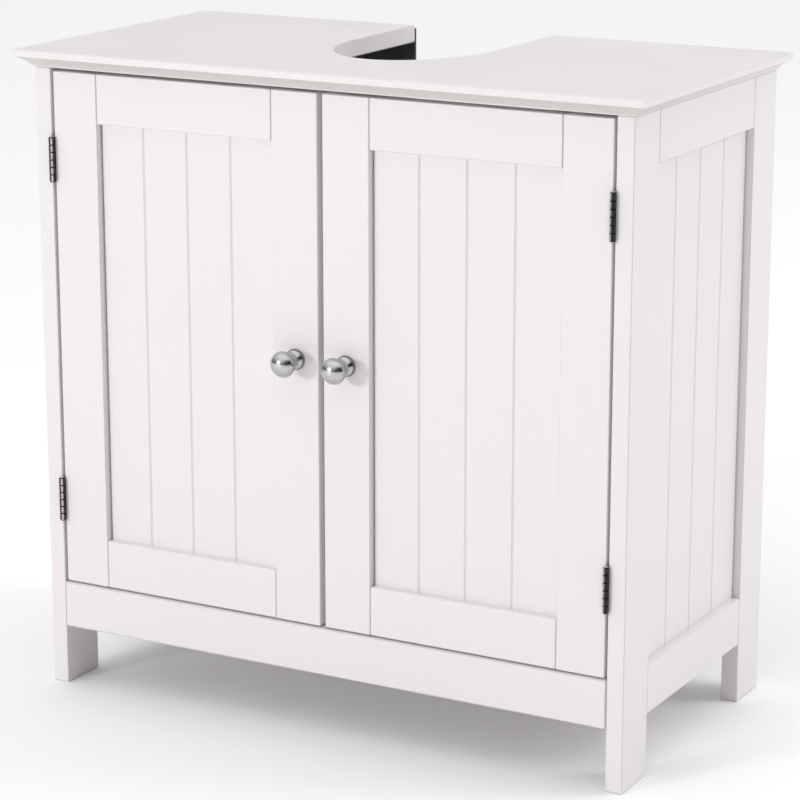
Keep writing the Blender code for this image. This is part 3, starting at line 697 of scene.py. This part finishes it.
# hinges
hingeSet = {
    "knuckles": 6, "play": 0.0002, "knuckleEase": 0.0006, "boreEase": 0.0002, "facets": 40, "cornerSteps": 5,
    # painted highlight stripe down each knuckle, in the bare colour: where it lies and how wide it is
    "rubbedTurn": 0.52, "rubbedWidth": 0.30,   # radians round from straight ahead towards the door
    "bore": 0.0015,
    "plate": 0.0008, "gap": 0.00015,   # a leaf's thickness, and how far it lies off the pin's plane
    "plateBehind": 0.0003,             # where the plate begins, behind the barrel
    "leafEase": 0.0002, "leafEnds": 0.00015,
    "webFromBore": 0.0004, "webBehind": 0.0010, "webShort": 0.0002,   # web that ties a knuckle to its plate
    "screwFromPin": 0.0098, "screwSpread": 0.0134, "screwProud": 0.0001,
}


# a knuckle: a tube whose wall section is a rounded rectangle carried round the pin; its edge value is a
# painted highlight, a bell curve about a direction turned from straight ahead towards the door
def knuckle(radius, low, high, toDoor):
    bore = hingeSet["bore"]
    section = [(bore, low), (radius, low), (radius, high), (bore, high)]
    outer, inner = hingeSet["knuckleEase"], hingeSet["boreEase"]
    radii = np.array((inner, outer, outer, inner))
    points, normals, edge = roundedOutline(section, radii, hingeSet["cornerSteps"])
    angle, circle = wholeTurn(hingeSet["facets"])
    highlightWay = -quarter + toDoor * hingeSet["rubbedTurn"]
    off = (angle - highlightWay + math.pi) % (2 * math.pi) - math.pi
    # the painted highlight stripe, left off the rounded ends
    rubbed = np.exp(-(off / hingeSet["rubbedWidth"]) ** 2) * (1 - abs(edge))[:, None]
    return {"rings": spun(points, circle), "normals": spun(normals, circle), "edge": rubbed, "closed": True}


headShape = {
    "armSteps": 3, "flankSteps": 6,
    "rimDrop": 0.8, "shoulder": 0.94, "shoulderDrop": 0.3,   # drops are shares of the crown
    "lip": 1.08, "floor": 0.62,                              # shares of the cross's own outline
    "wear": (0.0, 0.3, 0.8, 1.0, 0.8, 0.0),                  # ring by ring, from the skirt to the floor
}


# a screw head with a cross sunk in it: rings shrink from the rim to the cross's own outline, whose
# radius at an angle is the nearer of the arm's end and its flank
def crossHead(radius, armHalf, armLength, skirt, sink, crown):
    corner = math.atan2(armHalf, armLength)
    flank = np.linspace(corner, quarter - corner, headShape["flankSteps"])[1:-1]
    base = np.concatenate((np.linspace(-corner, corner, headShape["armSteps"]), flank))
    angle = (np.arange(4)[:, None] * quarter + base).ravel()
    folded = abs((angle + quarter / 2) % quarter - quarter / 2)
    cross = np.minimum(armLength / np.cos(folded), armHalf / np.maximum(np.sin(folded), 1e-6))
    one = np.ones(len(angle))
    radii = np.stack((radius * one, radius * one, radius * headShape["shoulder"] * one,
                      cross * headShape["lip"], cross, cross * headShape["floor"]))
    shoulder = -crown * headShape["shoulderDrop"]
    heights = np.array((-skirt, -crown * headShape["rimDrop"], shoulder, 0.0, shoulder, -sink))
    rings = np.stack((radii * np.cos(angle), radii * np.sin(angle), heights[:, None] * one), -1)
    return {"rings": rings, "edge": np.array(headShape["wear"])[:, None] * one}


hingePin = {"radius": 0.0012, "tip": 0.0021, "stretch": 0.5, "facets": 24, "tipSteps": 9, "poleGap": 0.02}
leafScrew = {
    "radius": 0.0021, "armHalf": 0.00030, "armLength": 0.0012,
    "skirt": 0.0006, "sink": 0.0007, "crown": 0.00008,
}


# a rod, with a tip past each end of the barrel that is a quarter ellipse
def pinLine(half):
    sweep = np.linspace(hingePin["poleGap"], quarter, hingePin["tipSteps"])
    tip, stretch, radius = hingePin["tip"], hingePin["stretch"], hingePin["radius"]
    cap = np.stack((tip * np.sin(sweep), half + tip * stretch * np.cos(sweep)), -1)
    rod = np.array([(radius, half), (radius, -half)])
    line = np.concatenate((cap, rod, cap[::-1] * (1, -1)))[::-1]
    return line, np.gradient(line, axis=0)


# a leaf: its plate, every second knuckle with a web that ties it to the plate, and three screw heads
def leafShells(low, high, axis, toSide, wanted, toDoor):
    axisX, axisY, middleZ = axis
    radius = axisY - low[1]
    pitch = (high[2] - low[2]) / hingeSet["knuckles"]
    gap, last = hingeSet["gap"], hingeSet["knuckles"] - 1
    ease, ends = hingeSet["leafEase"], hingeSet["leafEnds"]
    near, far = sorted((axisX + toSide * gap, axisX + toSide * (gap + hingeSet["plate"])))
    plateLow = np.array((near, axisY + radius + hingeSet["plateBehind"], low[2]))
    shells = [easedBoard(plateLow, np.array((far, high[1], high[2])), ease, ends)]
    for i in range(wanted, hingeSet["knuckles"], 2):
        bottom = low[2] + i * pitch + (hingeSet["play"] / 2 if i else 0)
        top = low[2] + (i + 1) * pitch - (hingeSet["play"] / 2 if i < last else 0)
        webFront = axisY + hingeSet["bore"] + hingeSet["webFromBore"]
        webLow = np.array((near, webFront, bottom + hingeSet["webShort"]))
        webHigh = np.array((far, axisY + radius + hingeSet["webBehind"], top - hingeSet["webShort"]))
        shells.append(placed(knuckle(radius, bottom, top, toDoor), (axisX, axisY, 0)))
        shells.append(easedBoard(webLow, webHigh, ease, ends))
    for spot in (-1, 0, 1):
        face = axisX + toSide * (gap - hingeSet["screwProud"])
        place = (face, axisY + hingeSet["screwFromPin"], middleZ + spot * hingeSet["screwSpread"])
        shells.append(placed(crossHead(**leafScrew), place, (-toSide, 0, 0)))
    return shells


for side, sign in (("left", -1), ("right", 1)):
    for level in ("upper", "lower"):
        name = f"{side}_{level}_hinge"
        pinLow, pinHigh = boxOf(f"{name}_pin")
        axis = (pinLow + pinHigh) / 2
        # each leaf: its body, the way it lies off the pin, and its first knuckle
        leaves = {"frame_leaf": ("cabinet", sign, 0), "door_leaf": (f"{side}_door", -sign, 1)}
        for leaf, (body, toSide, wanted) in leaves.items():
            node = f"{name}_{leaf}"
            shells = leafShells(*boxOf(node), axis, toSide, wanted, -sign)
            makePiece(camel(node), shells, "dark_steel", body, [node])
        half = (pinHigh[2] - pinLow[2]) / 2 - hingePin["tip"] * hingePin["stretch"]
        pin = placed(turned(*pinLine(half), hingePin["facets"]), axis)
        makePiece(camel(f"{name}_pin"), [pin], "dark_steel", "cabinet", [f"{name}_pin"])
print("hinges made")


# back strips and their pins
stripSet = {
    "pins": 6, "pinRadius": 0.0019, "pinProud": 0.0002, "pinSunk": 0.0006, "pinFacets": 20,
    "domeSteps": 5, "domeTurn": 0.97,   # the dome's share of a quarter turn, short of its pole
    "endMargin": 0.025, "fromEdge": 0.010, "endEase": 0.7,
}
for side, sign in (("left", -1), ("right", 1)):
    low, high = boxOf(f"{side}_back_strip")
    face = high[1] - stripSet["pinProud"]
    thin = boardEdges["thin"]
    strip = easedBoard(low, np.array((high[0], face, high[2])), thin, thin * stripSet["endEase"])
    makePiece(f"{side}BackStrip", [strip], "grey_fibreboard", "cabinet", [f"{side}_back_strip"])
    pinX = (high[0] - stripSet["fromEdge"]) if sign > 0 else (low[0] + stripSet["fromEdge"])
    sweep = np.linspace(0.0, quarter * stripSet["domeTurn"], stripSet["domeSteps"])
    dome = np.stack((stripSet["pinRadius"] * np.cos(sweep), stripSet["pinProud"] * np.sin(sweep)), -1)
    dome = np.concatenate(([(stripSet["pinRadius"], -stripSet["pinSunk"])], dome))
    head = turned(dome, np.gradient(dome, axis=0), stripSet["pinFacets"])
    heights = np.linspace(low[2] + stripSet["endMargin"], high[2] - stripSet["endMargin"], stripSet["pins"])
    heads = [placed(head, (pinX, face, z), (0, 1, 0)) for z in heights]
    makePiece(f"{side}BackStripPins", heads, "zinc", "cabinet")
print("back strips made")


# cam locks
camProud = 0.00015  # metres out of the side's inner face
camFace = {
    "radius": 0.0073, "armHalf": 0.0008, "armLength": 0.0034,
    "skirt": 0.0090, "sink": 0.0026, "crown": 0.0002,
}
for side, sign in (("left", -1), ("right", 1)):
    for level in ("front", "rear"):
        node = f"{side}_{level}_cam_lock"
        low, high = boxOf(node)
        middle = (low + high) / 2
        innerX = boxOf(f"{side}_top_rail")[0 if sign > 0 else 1][0]
        face = innerX - sign * camProud
        makePiece(camel(node), [placed(crossHead(**camFace), (face, middle[1], middle[2]), (-sign, 0, 0))],
                  "zinc", "cabinet", [node])
print("cam locks made")


# screws of the catches and of the steel plates on the doors
fixingSet = {"catchSpread": 0.0135, "catchProud": 0.00025, "plateSpread": 0.0105, "plateProud": 0.0001}
catchScrew = {
    "radius": 0.0026, "armHalf": 0.00035, "armLength": 0.0015,
    "skirt": 0.0008, "sink": 0.0008, "crown": 0.0002,
}


# two screw heads at equal distances left and right of a point, facing one way
def screwPair(screw, middle, spread, direction):
    spots = [(middle[0] + way * spread, middle[1], middle[2]) for way in (-1, 1)]
    return [placed(crossHead(**screw), spot, direction) for spot in spots]


for side in ("left", "right"):
    low, high = boxOf(f"{side}_catch")
    under = (*((low + high) / 2)[:2], low[2] - fixingSet["catchProud"])
    heads = screwPair(catchScrew, under, fixingSet["catchSpread"], (0, 0, -1))
    makePiece(f"{side}CatchScrews", heads, "zinc", "cabinet")
    low, high = boxOf(f"{side}_strike_plate")
    middle = (low + high) / 2
    behind = (middle[0], high[1] + fixingSet["plateProud"], middle[2])
    heads = screwPair(leafScrew, behind, fixingSet["plateSpread"], (0, 1, 0))
    makePiece(f"{side}StrikePlateScrews", heads, "zinc", f"{side}_door")
print("catch screws made")


# parts kept as they are
keptFinish = {
    "catch": "white_plastic", "strike_plate": "zinc", "cam_bolt": "zinc", "knob_screw": "zinc",
    "dowel": "beech",
}
for node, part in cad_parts.items():
    if part.hide_render:
        continue
    slot = next((finish for ending, finish in keptFinish.items() if node.endswith(ending)), "white_paint")
    part.data.materials.clear()
    part.data.materials.append(finishes[slot])
    print("kept:", node, slot)


# floor and surroundings
def makeFloor():  # a flat square, worked out as a grid of four corners
    half = floorSet["size"] / 2
    across, deep = np.meshgrid((-half, half), (-half, half))
    points = np.stack((across, deep, np.zeros((2, 2))), -1).reshape(-1, 3)
    mesh = bpy.data.meshes.new("studioFloor")
    mesh.from_pydata(points.tolist(), [], [(0, 1, 3, 2)])
    mesh.materials.append(floorFinish)
    floor = bpy.data.objects.new("studioFloor", mesh)
    bpy.context.collection.objects.link(floor)


worldSet = {
    "sky": 0.54, "overhead": 1.03,  # brightness at the horizon, and what straight up has over it
    "rise": (0.10, 0.90),          # height of a direction where the overhead light begins and is full
    "low": (0.04, 0.30), "dim": 0.92,   # heights between which the dark horizon clears, and how dark it is
    "flag": 1.00,                  # share of the sky's light that the dark screen takes away
    "side": (0.90, -0.44),         # the way to the screen, across the floor
    "width": (0.45, 0.95),         # how near to that way the screen begins and is full
    "top": (0.85, 0.45),           # how high it fades out and is full
}


# a pale sky, brightest overhead and dark at the horizon, with a dark soft-edged screen in front to the
# right: nearness to the screen is the direction's level part along the way to it
def makeWorld():
    world = bpy.data.worlds.new("studio")
    bpy.context.scene.world = world
    world.use_nodes = True
    tree = world.node_tree
    tree.nodes.clear()
    wire = Wire(tree)
    direction = wire.node("TexCoord", {}, {}, "Generated")
    parts = [wire.node("SeparateXYZ", {}, {"Vector": direction}, axis) for axis in "XYZ"]
    near = parts[0] * worldSet["side"][0] + parts[1] * worldSet["side"][1]

    def smooth(value, ends):  # 0 at the first end, 1 at the second, level at both
        settings = {"interpolation_type": "SMOOTHSTEP"}
        return wire.node("MapRange", settings, {"Value": value, "From Min": ends[0], "From Max": ends[1]})

    screen = smooth(near, worldSet["width"]) * smooth(parts[2], worldSet["top"]) * worldSet["flag"]
    horizon = smooth(parts[2], worldSet["low"]) * worldSet["dim"] + (1.0 - worldSet["dim"])
    overhead = smooth(parts[2], worldSet["rise"]) * worldSet["overhead"]
    bright = (1.0 - screen) * (horizon * worldSet["sky"] + overhead)
    glow = wire.node("Background", {}, {"Strength": bright})
    output = tree.nodes.new("ShaderNodeOutputWorld")
    tree.links.new(glow.socket, output.inputs["Surface"])


makeFloor()
makeWorld()
makeLights()
makeCamera()
bpy.context.scene.view_settings.view_transform = "Standard"
print("stage set")
